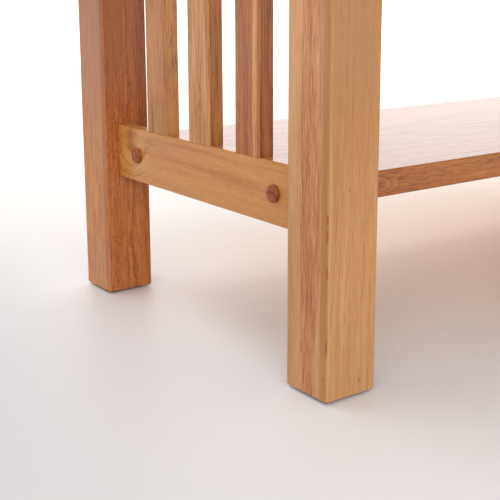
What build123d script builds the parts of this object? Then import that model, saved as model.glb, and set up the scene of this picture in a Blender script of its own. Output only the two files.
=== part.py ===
from build123d import *

import os

# A wooden luggage stand: two slatted end frames, a fixed lower shelf and a slatted deck.
# Millimetres, +X along the length, +Y to the rear, +Z up, origin on the floor at mid plan.

# Overall sizes
overall_length = 760.0
overall_depth = 400.0
overall_height = 500.0

# Posts and the felt pads under them
post_size = 51.0
post_edge_radius = 3.5
post_end_chamfer = 1.2
pad_thickness = 2.0
pad_margin = 5.0
pad_corner_radius = 6.0

# Rails of the end frames
rail_height = 53.0
rail_thickness = 15.0
rail_inset = 16.5
rail_edge_radius = 1.2
lower_rail_bottom = 124.0

# Upright slats of the end frames
end_slat_names = ("front", "middle", "rear")
end_slat_width = 35.0
end_slat_pitch = 74.0
end_slat_edge_radius = 1.5

# Lower shelf
shelf_thickness = 23.0
shelf_rise = 3.5
shelf_side_gap = 0.5
shelf_edge_radius = 2.0

# Aprons and the ledger strips inside them
apron_height = 53.0
apron_thickness = 20.0
apron_inset = 12.0
apron_edge_radius = 2.0
ledger_width = 20.0
ledger_height = 20.0
ledger_end_gap = 1.0
ledger_chamfer = 1.0

# Slats of the deck
deck_slat_count = 9
deck_slat_width = 50.0
deck_slat_thickness = 18.0
deck_slat_end_gap = 0.5
deck_slat_edge_radius = 2.0
deck_proud = 5.0

# Dowels: glued in bores that are a little wide and, on one side, a little deep
bore_clearance = 0.05
glue_gap = 0.5
dowel_chamfer = 0.8
rail_dowel_radius = 4.0
rail_dowel_edge = 12.5
rail_dowel_hold = 20.0
slat_dowel_radius = 3.0
slat_dowel_hold = 12.0
slat_dowel_spread = 18.0
apron_dowel_hold = 20.0
bore_wall = 5.0

# Knock-down bolts and barrel nuts that draw the aprons to the posts
bolt_radius = 3.0
bolt_hole_clearance = 0.25
bolt_length = 70.0
bolt_head_radius = 7.5
bolt_head_height = 2.5
bolt_recess = 3.0
bolt_recess_clearance = 0.25
bolt_socket_across = 4.0
bolt_socket_depth = 2.0
apron_fixing_edge = 14.0
nut_radius = 5.0
nut_length = 14.0
nut_setback = 17.0
nut_clearance = 0.1
nut_slot_width = 1.6
nut_slot_depth = 1.5

# Screws through the lower rails into the shelf, and the wooden buttons over them
shelf_screw_radius = 2.5
shelf_screw_length = 50.0
shelf_screw_head_radius = 5.0
shelf_screw_head_height = 4.0
shelf_screw_tip = 5.0
button_edge = 37.0
button_radius = 7.5
button_rim = 2.0
button_height = 4.6
button_stem_radius = 6.0
button_stem_length = 3.6
button_stem_chamfer = 0.5
counterbore_depth = 8.0

# Countersunk screws that hold the ledgers and the deck slats
small_screw_radius = 2.0
small_screw_length = 32.0
small_screw_tip = 4.0
small_screw_head_radius = 4.0
small_screw_sink = 0.3
cross_width = 1.0
cross_length = 4.6
cross_depth = 1.2
deck_screw_spread = 24.0

# Places worked out from the sizes above
half_length = overall_length / 2
half_depth = overall_depth / 2
post_top = overall_height - deck_proud
post_height = post_top - pad_thickness
post_x = half_length - post_size / 2
post_y = half_depth - post_size / 2
post_inner_x = half_length - post_size
post_inner_y = half_depth - post_size

rail_length = 2 * post_inner_y
rail_outer_x = half_length - rail_inset
rail_inner_x = rail_outer_x - rail_thickness
rail_x = rail_outer_x - rail_thickness / 2
lower_rail_top = lower_rail_bottom + rail_height
lower_rail_mid = lower_rail_bottom + rail_height / 2
upper_rail_bottom = post_top - rail_height

end_slat_thickness = rail_thickness
end_slat_length = upper_rail_bottom - lower_rail_top

shelf_length = 2 * rail_inner_x
shelf_depth = rail_length - 2 * shelf_side_gap
shelf_bottom = lower_rail_mid + shelf_rise - shelf_thickness / 2

apron_length = 2 * post_inner_x
apron_bottom = post_top - apron_height
apron_outer_y = half_depth - apron_inset
apron_inner_y = apron_outer_y - apron_thickness
apron_y = apron_outer_y - apron_thickness / 2

deck_underside = overall_height - deck_slat_thickness
deck_slat_length = 2 * (apron_inner_y - deck_slat_end_gap)
ledger_length = apron_length - 2 * ledger_end_gap
deck_pitch = (ledger_length - deck_slat_width) / (deck_slat_count - 1)
ledger_inner_y = apron_inner_y - ledger_width
ledger_y = apron_inner_y - ledger_width / 2
ledger_bottom = deck_underside - ledger_height
ledger_mid = ledger_bottom + ledger_height / 2

bolt_hole_radius = bolt_radius + bolt_hole_clearance
bolt_z = apron_bottom + apron_fixing_edge
apron_dowel_z = post_top - apron_fixing_edge
nut_x = post_inner_x - nut_setback
nut_hole_depth = apron_thickness / 2 + nut_length / 2
bolt_hole_end = bolt_recess + bolt_length + glue_gap
bolt_hole_in_apron = bolt_hole_end - post_size

# A rail dowel stops short of the bolt that crosses the post
bolt_line_inset = half_depth - apron_y
rail_dowel_in_post = post_size - bolt_line_inset - bolt_hole_radius - bore_wall
rail_dowel_length = rail_dowel_in_post + rail_dowel_hold - glue_gap
slat_dowel_length = 2 * slat_dowel_hold - glue_gap
apron_dowel_length = 2 * apron_dowel_hold - glue_gap

screw_y = post_inner_y - button_edge
counterbore_radius = button_stem_radius + bore_clearance
shelf_screw_hold = shelf_screw_length - (rail_thickness - counterbore_depth)
small_screw_hold = small_screw_length + small_screw_sink

left_right = {"left": -1, "right": 1}
front_rear = {"front": -1, "rear": 1}
end_slat_ys = [
    (index - (len(end_slat_names) - 1) / 2) * end_slat_pitch
    for index in range(len(end_slat_names))
]
deck_slat_xs = [
    (index - (deck_slat_count - 1) / 2) * deck_pitch for index in range(deck_slat_count)
]
deck_gap_xs = [x + deck_pitch / 2 for x in deck_slat_xs[:-1]]


def facing_x(x, y, z, side):
    """Plane at a point whose normal runs along X, towards the given side."""
    return Plane(origin=(x, y, z), x_dir=(0, 1, 0), z_dir=(side, 0, 0))


def facing_y(x, y, z, side):
    """Plane at a point whose normal runs along Y, towards the given side."""
    return Plane(origin=(x, y, z), x_dir=(1, 0, 0), z_dir=(0, side, 0))


def facing_z(x, y, z, side):
    """Plane at a point whose normal runs along Z, towards the given side."""
    return Plane(origin=(x, y, z), x_dir=(1, 0, 0), z_dir=(0, 0, side))


def rail_dowel_heights(rail_bottom):
    """Heights of the two dowels in each end of a rail."""
    return (rail_bottom + rail_dowel_edge, rail_bottom + rail_height - rail_dowel_edge)


def rail_dowel_mouths(sx, sy, rail_bottom, side):
    """Planes on the joint of a rail with a post, facing the given side along Y."""
    return [
        facing_y(sx * rail_x, sy * post_inner_y, z, side)
        for z in rail_dowel_heights(rail_bottom)
    ]


def slat_dowel_mouths(sx, y, z, side):
    """Planes on the joint of an upright slat with a rail, facing up or down."""
    return [
        facing_z(sx * rail_x, y + offset, z, side)
        for offset in (-slat_dowel_spread / 2, slat_dowel_spread / 2)
    ]


def shelf_screw_mouths(sx, x):
    """Planes of the two shelf screws of one end, at a distance x from the middle."""
    return [facing_x(sx * x, sy * screw_y, lower_rail_mid, sx) for sy in (-1, 1)]


def deck_screw_mouths(sy, z, slat_xs):
    """Planes of the deck screws in one ledger, facing down at height z."""
    return [
        facing_z(x + offset, sy * ledger_y, z, -1)
        for x in slat_xs
        for offset in (-deck_screw_spread / 2, deck_screw_spread / 2)
    ]


def ledger_screw_mouths(sy, y):
    """Planes of the screws of one ledger, facing the middle of the stand."""
    return [facing_y(x, sy * y, ledger_mid, -sy) for x in deck_gap_xs]


def save(part, name):
    """Label a finished piece and write it as a STEP file."""
    part.label = name
    export_step(part, f"parts/{name}.step")


def make_post(sx, sy):
    """Corner post with sockets for the rails, the apron's dowel and its bolt."""
    with BuildPart() as post:
        with BuildSketch(Plane.XY.offset(pad_thickness)):
            with Locations((sx * post_x, sy * post_y)):
                Rectangle(post_size, post_size)
        extrude(amount=post_height)
        fillet(post.edges().filter_by(Axis.Z), radius=post_edge_radius)
        ends = post.edges().group_by(Axis.Z)
        chamfer(ends[0] + ends[-1], length=post_end_chamfer)
        with Locations(
            *rail_dowel_mouths(sx, sy, lower_rail_bottom, -sy),
            *rail_dowel_mouths(sx, sy, upper_rail_bottom, -sy),
        ):
            Hole(rail_dowel_radius + bore_clearance, depth=rail_dowel_in_post)
        with Locations(facing_x(sx * post_inner_x, sy * apron_y, apron_dowel_z, -sx)):
            Hole(rail_dowel_radius + bore_clearance, depth=apron_dowel_hold)
        with Locations(facing_x(sx * half_length, sy * apron_y, bolt_z, sx)):
            CounterBoreHole(
                radius=bolt_hole_radius,
                counter_bore_radius=bolt_head_radius + bolt_recess_clearance,
                counter_bore_depth=bolt_recess,
                depth=post_size,
            )
    return post.part


def make_rail(sx, rail_bottom):
    """Rail of an end frame with dowel bores in both ends."""
    with BuildPart() as rail:
        with BuildSketch(Plane.XY.offset(rail_bottom)):
            with Locations((sx * rail_x, 0)):
                Rectangle(rail_thickness, rail_length)
        extrude(amount=rail_height)
        fillet(rail.edges().filter_by(Axis.Y), radius=rail_edge_radius)
        with Locations(
            *rail_dowel_mouths(sx, -1, rail_bottom, -1),
            *rail_dowel_mouths(sx, 1, rail_bottom, 1),
        ):
            Hole(rail_dowel_radius + bore_clearance, depth=rail_dowel_hold)
    return rail.part


def make_lower_rail(sx):
    """Lower rail, bored for the slats above it and the shelf screws through it."""
    with BuildPart() as rail:
        add(make_rail(sx, lower_rail_bottom))
        for y in end_slat_ys:
            with Locations(*slat_dowel_mouths(sx, y, lower_rail_top, 1)):
                Hole(slat_dowel_radius + bore_clearance, depth=slat_dowel_hold)
        with Locations(*shelf_screw_mouths(sx, rail_outer_x)):
            CounterBoreHole(
                radius=shelf_screw_radius + bore_clearance,
                counter_bore_radius=counterbore_radius,
                counter_bore_depth=counterbore_depth,
                depth=rail_thickness,
            )
    return rail.part


def make_upper_rail(sx):
    """Upper rail, bored for the slats below it."""
    with BuildPart() as rail:
        add(make_rail(sx, upper_rail_bottom))
        for y in end_slat_ys:
            with Locations(*slat_dowel_mouths(sx, y, upper_rail_bottom, -1)):
                Hole(slat_dowel_radius + bore_clearance, depth=slat_dowel_hold)
    return rail.part


def make_end_slat(sx, y):
    """Upright slat between the two rails, with two dowel bores in each end."""
    with BuildPart() as slat:
        with BuildSketch(Plane.XY.offset(lower_rail_top)):
            with Locations((sx * rail_x, y)):
                Rectangle(end_slat_thickness, end_slat_width)
        extrude(amount=end_slat_length)
        fillet(slat.edges().filter_by(Axis.Z), radius=end_slat_edge_radius)
        with Locations(
            *slat_dowel_mouths(sx, y, lower_rail_top, -1),
            *slat_dowel_mouths(sx, y, upper_rail_bottom, 1),
        ):
            Hole(slat_dowel_radius + bore_clearance, depth=slat_dowel_hold)
    return slat.part


def make_shelf():
    """Lower shelf between the end frames, with pilot bores in its ends."""
    with BuildPart() as shelf:
        with BuildSketch(Plane.XY.offset(shelf_bottom)):
            Rectangle(shelf_length, shelf_depth)
        extrude(amount=shelf_thickness)
        fillet(shelf.edges().filter_by(Axis.X), radius=shelf_edge_radius)
        with Locations(
            *shelf_screw_mouths(-1, rail_inner_x),
            *shelf_screw_mouths(1, rail_inner_x),
        ):
            Hole(shelf_screw_radius + bore_clearance, depth=shelf_screw_hold)
    return shelf.part


def make_apron(sy):
    """Long top rail with a dowel, a bolt and a barrel nut bored at each end."""
    with BuildPart() as apron:
        with BuildSketch(Plane.XY.offset(apron_bottom)):
            with Locations((0, sy * apron_y)):
                Rectangle(apron_length, apron_thickness)
        extrude(amount=apron_height)
        fillet(apron.edges().filter_by(Axis.X), radius=apron_edge_radius)
        for sx in (-1, 1):
            with Locations(facing_x(sx * post_inner_x, sy * apron_y, apron_dowel_z, sx)):
                Hole(rail_dowel_radius + bore_clearance, depth=apron_dowel_hold)
            with Locations(facing_x(sx * post_inner_x, sy * apron_y, bolt_z, sx)):
                Hole(bolt_hole_radius, depth=bolt_hole_in_apron)
            with Locations(facing_y(sx * nut_x, sy * apron_inner_y, bolt_z, -sy)):
                Hole(nut_radius + nut_clearance, depth=nut_hole_depth)
        with Locations(*ledger_screw_mouths(sy, apron_inner_y)):
            Hole(small_screw_radius + bore_clearance, depth=small_screw_hold - ledger_width)
    return apron.part


def make_ledger(sy):
    """Strip inside an apron that carries the deck slats."""
    with BuildPart() as ledger:
        with BuildSketch(Plane.XY.offset(ledger_bottom)):
            with Locations((0, sy * ledger_y)):
                Rectangle(ledger_length, ledger_width)
        extrude(amount=ledger_height)
        inner_edges = ledger.edges().filter_by(Axis.X).group_by(Axis.Y)
        chamfer(inner_edges[0 if sy > 0 else -1], length=ledger_chamfer)
        with Locations(
            *deck_screw_mouths(sy, ledger_bottom, deck_slat_xs),
            *ledger_screw_mouths(sy, ledger_inner_y),
        ):
            CounterSinkHole(
                radius=small_screw_radius + bore_clearance,
                counter_sink_radius=small_screw_head_radius + small_screw_sink,
                depth=ledger_width + ledger_height,
                counter_sink_angle=90,
            )
    return ledger.part


def make_deck_slat(x):
    """Slat of the deck, resting on both ledgers and screwed from below."""
    with BuildPart() as slat:
        with BuildSketch(Plane.XY.offset(deck_underside)):
            with Locations((x, 0)):
                Rectangle(deck_slat_width, deck_slat_length)
        extrude(amount=deck_slat_thickness)
        fillet(slat.faces().sort_by(Axis.Z)[-1].edges(), radius=deck_slat_edge_radius)
        with Locations(
            *deck_screw_mouths(-1, deck_underside, [x]),
            *deck_screw_mouths(1, deck_underside, [x]),
        ):
            Hole(small_screw_radius + bore_clearance, depth=small_screw_hold - ledger_height)
    return slat.part


def make_pad(sx, sy):
    """Felt pad under a post."""
    pad_size = post_size - 2 * pad_margin
    with BuildPart() as pad:
        with BuildSketch(Plane.XY):
            with Locations((sx * post_x, sy * post_y)):
                RectangleRounded(pad_size, pad_size, pad_corner_radius)
        extrude(amount=pad_thickness)
    return pad.part


def make_dowel(radius, length):
    """Dowel lying along -Z below the origin, with chamfered ends."""
    with BuildPart() as dowel:
        with BuildSketch(Plane.XY):
            Circle(radius)
        extrude(amount=-length)
        chamfer(dowel.edges(), length=dowel_chamfer)
    return dowel.part


def make_shelf_screw():
    """Pan-head screw along -Z, the underside of its head at the origin."""
    with BuildPart() as screw:
        with BuildSketch(Plane.XY):
            Circle(shelf_screw_head_radius)
        extrude(amount=shelf_screw_head_height)
        fillet(screw.edges().group_by(Axis.Z)[-1], radius=shelf_screw_head_height / 4)
        with BuildSketch(Plane.XZ):
            with BuildLine():
                Polyline(
                    (0, 0),
                    (shelf_screw_radius, 0),
                    (shelf_screw_radius, shelf_screw_tip - shelf_screw_length),
                    (0, -shelf_screw_length),
                    close=True,
                )
            make_face()
        revolve(axis=Axis.Z)
    return screw.part


def make_small_screw():
    """Countersunk screw along -Z, its flat head a little below the origin."""
    cone_end = -small_screw_sink - (small_screw_head_radius - small_screw_radius)
    with BuildPart() as screw:
        with BuildSketch(Plane.XZ):
            with BuildLine():
                Polyline(
                    (0, -small_screw_sink),
                    (small_screw_head_radius, -small_screw_sink),
                    (small_screw_radius, cone_end),
                    (small_screw_radius, small_screw_tip - small_screw_length),
                    (0, -small_screw_length),
                    close=True,
                )
            make_face()
        revolve(axis=Axis.Z)
        with BuildSketch(Plane.XY.offset(-small_screw_sink)):
            Rectangle(cross_length, cross_width)
            Rectangle(cross_width, cross_length)
        extrude(amount=-cross_depth, mode=Mode.SUBTRACT)
    return screw.part


def make_bolt():
    """Furniture bolt along -Z with a flat head and a hexagon socket."""
    with BuildPart() as bolt:
        with BuildSketch(Plane.XY):
            Circle(bolt_head_radius)
        extrude(amount=bolt_head_height)
        fillet(bolt.edges().group_by(Axis.Z)[-1], radius=bolt_head_height / 3)
        with BuildSketch(Plane.XY):
            Circle(bolt_radius)
        extrude(amount=-bolt_length)
        chamfer(bolt.edges().group_by(Axis.Z)[0], length=bolt_radius / 5)
        with BuildSketch(Plane.XY.offset(bolt_head_height)):
            RegularPolygon(bolt_socket_across / 2, 6, major_radius=False)
        extrude(amount=-bolt_socket_depth, mode=Mode.SUBTRACT)
    return bolt.part


def make_nut():
    """Barrel nut along -Z, cross-bored for the bolt and slotted at its near end."""
    with BuildPart() as nut:
        with BuildSketch(Plane.XY):
            Circle(nut_radius)
        extrude(amount=-nut_length)
        with Locations(facing_x(nut_radius, 0, -nut_length / 2, 1)):
            Hole(bolt_radius + bore_clearance, depth=2 * nut_radius)
        with BuildSketch(Plane.XY):
            Rectangle(2 * nut_radius, nut_slot_width)
        extrude(amount=-nut_slot_depth, mode=Mode.SUBTRACT)
    return nut.part


def make_button():
    """Domed wooden button with a short stem along -Z."""
    with BuildPart() as button:
        with BuildSketch(Plane.XZ):
            with BuildLine():
                Line((0, 0), (button_radius, 0))
                Line((button_radius, 0), (button_radius, button_rim))
                TangentArc((0, button_height), (button_radius, button_rim), tangent=(1, 0))
                Line((0, button_height), (0, 0))
            make_face()
        revolve(axis=Axis.Z)
        with BuildSketch(Plane.XY):
            Circle(button_stem_radius)
        extrude(amount=-button_stem_length)
        chamfer(button.edges().group_by(Axis.Z)[0], length=button_stem_chamfer)
    return button.part


def save_group(piece, places, name):
    """Write copies of one piece, one at each plane, as one group of solids."""
    with BuildPart() as copies:
        with Locations(*places):
            add(piece)
    save(copies.part, name)


os.makedirs("parts", exist_ok=True)

for side, sx in left_right.items():
    for end, sy in front_rear.items():
        save(make_post(sx, sy), f"post_{end}_{side}")
        save(make_pad(sx, sy), f"foot_pad_{end}_{side}")
    save(make_lower_rail(sx), f"lower_rail_{side}")
    save(make_upper_rail(sx), f"upper_rail_{side}")
    for place, y in zip(end_slat_names, end_slat_ys):
        save(make_end_slat(sx, y), f"end_slat_{side}_{place}")
    save_group(make_button(), shelf_screw_mouths(sx, rail_outer_x), f"cover_buttons_{side}")

for end, sy in front_rear.items():
    save(make_apron(sy), f"apron_{end}")
    save(make_ledger(sy), f"ledger_{end}")
for number, x in enumerate(deck_slat_xs, start=1):
    save(make_deck_slat(x), f"deck_slat_{number}")
save(make_shelf(), "shelf_board")

# Every loose fixing is placed by the bore that it sits in
corners = [(sx, sy) for sx in (-1, 1) for sy in (-1, 1)]
rail_dowel_places = [
    facing_y(sx * rail_x, sy * (post_inner_y + rail_dowel_in_post), z, sy)
    for sx, sy in corners
    for rail_bottom in (lower_rail_bottom, upper_rail_bottom)
    for z in rail_dowel_heights(rail_bottom)
]
slat_dowel_places = [
    place
    for sx in (-1, 1)
    for y in end_slat_ys
    for z, side in (
        (lower_rail_top - slat_dowel_hold, -1),
        (upper_rail_bottom + slat_dowel_hold, 1),
    )
    for place in slat_dowel_mouths(sx, y, z, side)
]
apron_dowel_places = [
    facing_x(sx * (post_inner_x + apron_dowel_hold), sy * apron_y, apron_dowel_z, sx)
    for sx, sy in corners
]
bolt_places = [
    facing_x(sx * (half_length - bolt_recess), sy * apron_y, bolt_z, sx)
    for sx, sy in corners
]
nut_mouth_y = apron_inner_y + nut_hole_depth - nut_length
nut_places = [facing_y(sx * nut_x, sy * nut_mouth_y, bolt_z, -sy) for sx, sy in corners]
shelf_screw_places = [
    place
    for sx in (-1, 1)
    for place in shelf_screw_mouths(sx, rail_outer_x - counterbore_depth)
]
deck_screw_places = [
    place for sy in (-1, 1) for place in deck_screw_mouths(sy, ledger_bottom, deck_slat_xs)
]
ledger_screw_places = [
    place for sy in (-1, 1) for place in ledger_screw_mouths(sy, ledger_inner_y)
]

save_group(make_dowel(rail_dowel_radius, rail_dowel_length), rail_dowel_places, "rail_dowels")
save_group(make_dowel(slat_dowel_radius, slat_dowel_length), slat_dowel_places, "slat_dowels")
save_group(make_dowel(rail_dowel_radius, apron_dowel_length), apron_dowel_places, "apron_dowels")
save_group(make_bolt(), bolt_places, "apron_bolts")
save_group(make_nut(), nut_places, "barrel_nuts")
save_group(make_shelf_screw(), shelf_screw_places, "shelf_screws")
save_group(make_small_screw(), deck_screw_places, "deck_screws")
save_group(make_small_screw(), ledger_screw_places, "ledger_screws")
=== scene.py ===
import logging
import math
from dataclasses import dataclass, replace
from enum import Enum
from typing import Optional, Sequence

import bpy
import numpy as np
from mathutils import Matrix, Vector


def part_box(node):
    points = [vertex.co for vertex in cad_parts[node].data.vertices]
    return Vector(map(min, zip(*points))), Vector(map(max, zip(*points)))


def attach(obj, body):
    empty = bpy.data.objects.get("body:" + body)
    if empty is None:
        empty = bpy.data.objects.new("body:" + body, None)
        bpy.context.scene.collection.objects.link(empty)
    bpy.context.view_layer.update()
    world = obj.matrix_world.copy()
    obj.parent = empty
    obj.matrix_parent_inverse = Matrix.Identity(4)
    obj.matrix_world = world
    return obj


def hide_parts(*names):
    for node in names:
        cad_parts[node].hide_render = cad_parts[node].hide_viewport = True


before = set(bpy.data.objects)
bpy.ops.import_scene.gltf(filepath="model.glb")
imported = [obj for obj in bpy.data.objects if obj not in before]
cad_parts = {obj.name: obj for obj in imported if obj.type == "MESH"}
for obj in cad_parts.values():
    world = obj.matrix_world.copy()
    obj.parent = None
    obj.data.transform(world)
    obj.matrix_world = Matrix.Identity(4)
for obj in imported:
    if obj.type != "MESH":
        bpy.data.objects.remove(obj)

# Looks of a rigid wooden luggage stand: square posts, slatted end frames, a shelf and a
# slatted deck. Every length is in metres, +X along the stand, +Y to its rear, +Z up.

log = logging.getLogger("luggage_stand")

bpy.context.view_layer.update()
ROOT = "root"
MM = 0.001

Colour = tuple[float, float, float, float]
Socket = bpy.types.NodeSocket
Value = Socket | float


def shade(code: str) -> Colour:
    """Turns a paint code such as "C89664" into scene-linear red, green, blue and alpha.

    Args:
        code: Six hexadecimal digits, two for each of red, green and blue.

    Returns:
        The colour as four numbers from 0 to 1.
    """
    parts = [int(code[i : i + 2], 16) / 255 for i in (0, 2, 4)]
    linear = [((c + 0.055) / 1.055) ** 2.4 if c > 0.04045 else c / 12.92 for c in parts]
    return (*linear, 1.0)


class Grain(Enum):
    """How a board's grain lies: its two cross axes, then the axis along the grain."""

    UPRIGHT = ("X", "Y", "Z")
    LENGTHWISE = ("Y", "Z", "X")
    CROSSWISE = ("X", "Z", "Y")


class ShaderSheet:
    """The node tree of a material or a world, written as one expression after another."""

    def __init__(self, holder: bpy.types.Material | bpy.types.World) -> None:
        """Starts an empty tree.

        Args:
            holder: The material or world that the tree belongs to.
        """
        self.holder = holder
        holder.use_nodes = True
        self.tree = holder.node_tree
        self.tree.nodes.clear()

    def node(self, kind: str, inputs: dict[str | int, object], **settings: object) -> bpy.types.Node:
        """Adds a node, sets its options, and links or fills its inputs.

        Args:
            kind: Blender's name of the node type, without its ShaderNode prefix.
            inputs: Input name or index, to a socket that is linked or a value that is set.
            **settings: Options of the node, such as its operation.

        Returns:
            The new node.
        """
        made = self.tree.nodes.new("ShaderNode" + kind)
        for key, value in settings.items():
            setattr(made, key, value)
        for key, value in inputs.items():
            if isinstance(value, bpy.types.NodeSocket):
                self.tree.links.new(value, made.inputs[key])
            else:
                made.inputs[key].default_value = value
        return made

    def math(self, operation: str, *values: Value) -> Socket:
        """One arithmetic step on one to three values."""
        return self.node("Math", dict(enumerate(values)), operation=operation).outputs[0]

    def total(self, first: Value, *others: Value) -> Value:
        """Adds up values.

        Args:
            first: The first value.
            *others: The values that are added to it.

        Returns:
            The sum.
        """
        for other in others:
            first = self.math("ADD", first, other)
        return first

    def swing(self, value: Value, amount: float) -> Socket:
        """A texture from 0 to 1 turned into a swing of the given size about nought."""
        return self.math("MULTIPLY_ADD", value, amount, -0.5 * amount)

    def ease(self, value: Value, start: float, end: float) -> Socket:
        """A smooth step from 0 at start to 1 at end.

        Args:
            value: The value that is read.
            start: Where the step starts.
            end: Where it is full, which may be the smaller of the two.

        Returns:
            The height of the step at the value.
        """
        low, high = min(start, end), max(start, end)
        outcome = (0.0, 1.0) if end > start else (1.0, 0.0)
        ranges = {"From Min": low, "From Max": high, "To Min": outcome[0], "To Max": outcome[1]}
        made = self.node("MapRange", {"Value": value, **ranges}, interpolation_type="SMOOTHSTEP")
        return made.outputs[0]

    def join(self, x: Value, y: Value, z: Value) -> Socket:
        """A vector from its three parts."""
        return self.node("CombineXYZ", {0: x, 1: y, 2: z}).outputs[0]

    def stretch(self, vector: Socket, across: float, along: float, shift: float = 0.0) -> Socket:
        """A board's place, counted in features of a given width and length.

        Args:
            vector: Place on the board: across, across, along.
            across: Width of one feature, in metres.
            along: Length of one feature, in metres.
            shift: Throws the pattern aside, in features, so that two patterns differ.

        Returns:
            The vector to feed to a texture of scale 1.
        """
        factor = (1 / across, 1 / across, 1 / along)
        inputs = {0: vector, 1: factor, 2: (shift, shift, shift)}
        return self.node("VectorMath", inputs, operation="MULTIPLY_ADD").outputs[0]

    def noise(self, vector: Socket, detail: float = 2.0, roughness: float = 0.5) -> Socket:
        """Soft noise from 0 to 1 with features of size 1."""
        inputs = {"Vector": vector, "Scale": 1.0, "Detail": detail, "Roughness": roughness}
        return self.node("TexNoise", inputs).outputs[0]

    def line_noise(self, place: Value, detail: float = 2.0) -> bpy.types.Node:
        """Noise along one line; its first output is a value and its second three values."""
        inputs = {"W": place, "Scale": 1.0, "Detail": detail}
        return self.node("TexNoise", inputs, noise_dimensions="1D")

    def blend(self, share: Value, first: object, second: object) -> Socket:
        """Mixes two colours.

        Args:
            share: Share of the second colour, from 0 to 1.
            first: The first colour, as a socket or a value.
            second: The second colour.

        Returns:
            The mixed colour.
        """
        inputs = {0: share, 6: first, 7: second}
        return self.node("Mix", inputs, data_type="RGBA", clamp_factor=True).outputs[2]

    def ramp(self, value: Value, colours: Sequence[Colour]) -> Socket:
        """Reads a colour off a scale.

        Args:
            value: The value that is read, from 0 to 1.
            colours: The colours, spread evenly over the scale.

        Returns:
            The colour at the value.
        """
        made = self.node("ValToRGB", {0: value})
        stops = made.color_ramp.elements
        while len(stops) < len(colours):
            stops.new(0.5)
        for index, colour in enumerate(colours):
            stops[index].position = index / (len(colours) - 1)
            stops[index].color = colour
        return made.outputs[0]

    def place(self) -> Socket:
        """Place in the stand's own frame, in metres."""
        return self.node("TexCoord", {}).outputs["Object"]

    def reach_along(self, vector: Socket, way: Sequence[float]) -> Socket:
        """The dot product of a vector and a fixed way."""
        return self.node("VectorMath", {0: vector, 1: way}, operation="DOT_PRODUCT").outputs["Value"]

    def distance(self, middle: Sequence[float], size: Sequence[float]) -> Socket:
        """Distance from a middle, counted in reaches.

        It is the length of the offset from the middle, once each part of the offset is
        divided by the reach along its axis.

        Args:
            middle: The middle, in the stand's own frame.
            size: The reach along X, Y and Z.

        Returns:
            The distance, which is 1 at the rim.
        """
        offset = self.node("VectorMath", {0: self.place(), 1: middle}, operation="SUBTRACT").outputs[0]
        scaled = self.node("VectorMath", {0: offset, 1: size}, operation="DIVIDE").outputs[0]
        return self.node("VectorMath", {0: scaled}, operation="LENGTH").outputs["Value"]

    def finish(self, inputs: dict[str | int, object], height: Optional[Value] = None) -> bpy.types.Material:
        """Closes the material with one surface shader.

        Args:
            inputs: Inputs of the surface shader.
            height: Relief of the surface in metres, or None where it is smooth.

        Returns:
            The finished material.
        """
        if height is not None:
            bump = self.node("Bump", {"Height": height, "Distance": 1.0, "Strength": 1.0})
            inputs = {**inputs, "Normal": bump.outputs[0]}
        surface = self.node("BsdfPrincipled", inputs)
        self.node("OutputMaterial", {"Surface": surface.outputs[0]})
        return self.holder


@dataclass(frozen=True)
class Stripe:
    """A stripe of other wood that runs the length of a board, such as a red heart streak.

    Attributes:
        side: 0 or 1, the cross axis that the stripe is counted along.
        start: Where it starts, from the board's middle.
        end: Where it ends.
        light: Its lightest wood.
        dark: Its darkest wood.
        strength: How fully it covers the wood beside it.
        start_blur: How gently it starts.
        end_blur: How gently it ends.
        fray: How far the fibres fray its start.
        sway_size: Width and length of one slow sway of its start.
        taper: How far its start draws in towards the foot of the board.
        taper_from: Height along the board, from its middle, where it begins to draw in.
        taper_to: Height where it has drawn in fully.
        hair_share: How much more strongly the short fine hairs show in it.
    """

    side: int
    start: float
    end: float
    light: Colour
    dark: Colour
    strength: float = 1.0
    start_blur: float = 1.0 * MM
    end_blur: float = 1.0 * MM
    fray: float = 0.0
    sway_size: tuple[float, float] = (30.0 * MM, 70.0 * MM)
    taper: float = 0.0
    taper_from: float = 0.0
    taper_to: float = -1.0
    hair_share: float = 0.0


@dataclass(frozen=True)
class Knot:
    """A place that the growth rings swirl round, a pin knot where it is small, or a soft dark patch,
    which is a stain on most boards and painted shade near the top of one post.

    Attributes:
        place: Its place in the stand's frame.
        size: Its reach along X, Y and Z.
        rings: How many rings the swirl adds at its middle.
        strength: How much more strongly the rings show in it.
        stain_and_shade: How dark its middle is, whether stain or painted shade.
        stain_and_shade_reach: How far the darkening spreads, as a share of its size.
        colour: Colour of the stain or painted shade, or None for the colour of the pores.
    """

    place: tuple[float, float, float]
    size: tuple[float, float, float]
    rings: float = 0.0
    strength: float = 0.0
    stain_and_shade: float = 0.0
    stain_and_shade_reach: float = 1.0
    colour: Optional[Colour] = None


@dataclass(frozen=True)
class Cut:
    """How one board was sawn from its log, which sets its figure.

    Attributes:
        middle: The board's middle.
        grain: The way that its grain lies.
        pith: Where the log's heart lies, across the board, from its middle.
        lean: How far the heart drifts across, for each metre along.
        seed: Number that sets this board's own figure.
        stave: Width of the strips that it is glued up from, or 0 for one piece.
        stave_side: 0 or 1, the cross axis that the strips are laid along.
        stave_throw: How far each strip's figure is thrown: across, across and along.
        stave_tone: How much the strips differ in tone.
        stripes: Stripes of other wood.
        knots: Knots, swirls, stains and painted shade.
        clear_side: 0 or 1, the cross axis of a face without open pores, or None.
        clear_depth: Depth from the board's middle to just under that face.
    """

    middle: tuple[float, float, float]
    grain: Grain
    pith: tuple[float, float]
    lean: tuple[float, float]
    seed: float
    stave: float = 0.0
    stave_side: int = 0
    stave_throw: tuple[float, float, float] = (60.0 * MM, 60.0 * MM, 1.0)
    stave_tone: float = 0.34
    stripes: tuple[Stripe, ...] = ()
    knots: tuple[Knot, ...] = ()
    clear_side: Optional[int] = None
    clear_depth: float = 0.0


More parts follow.
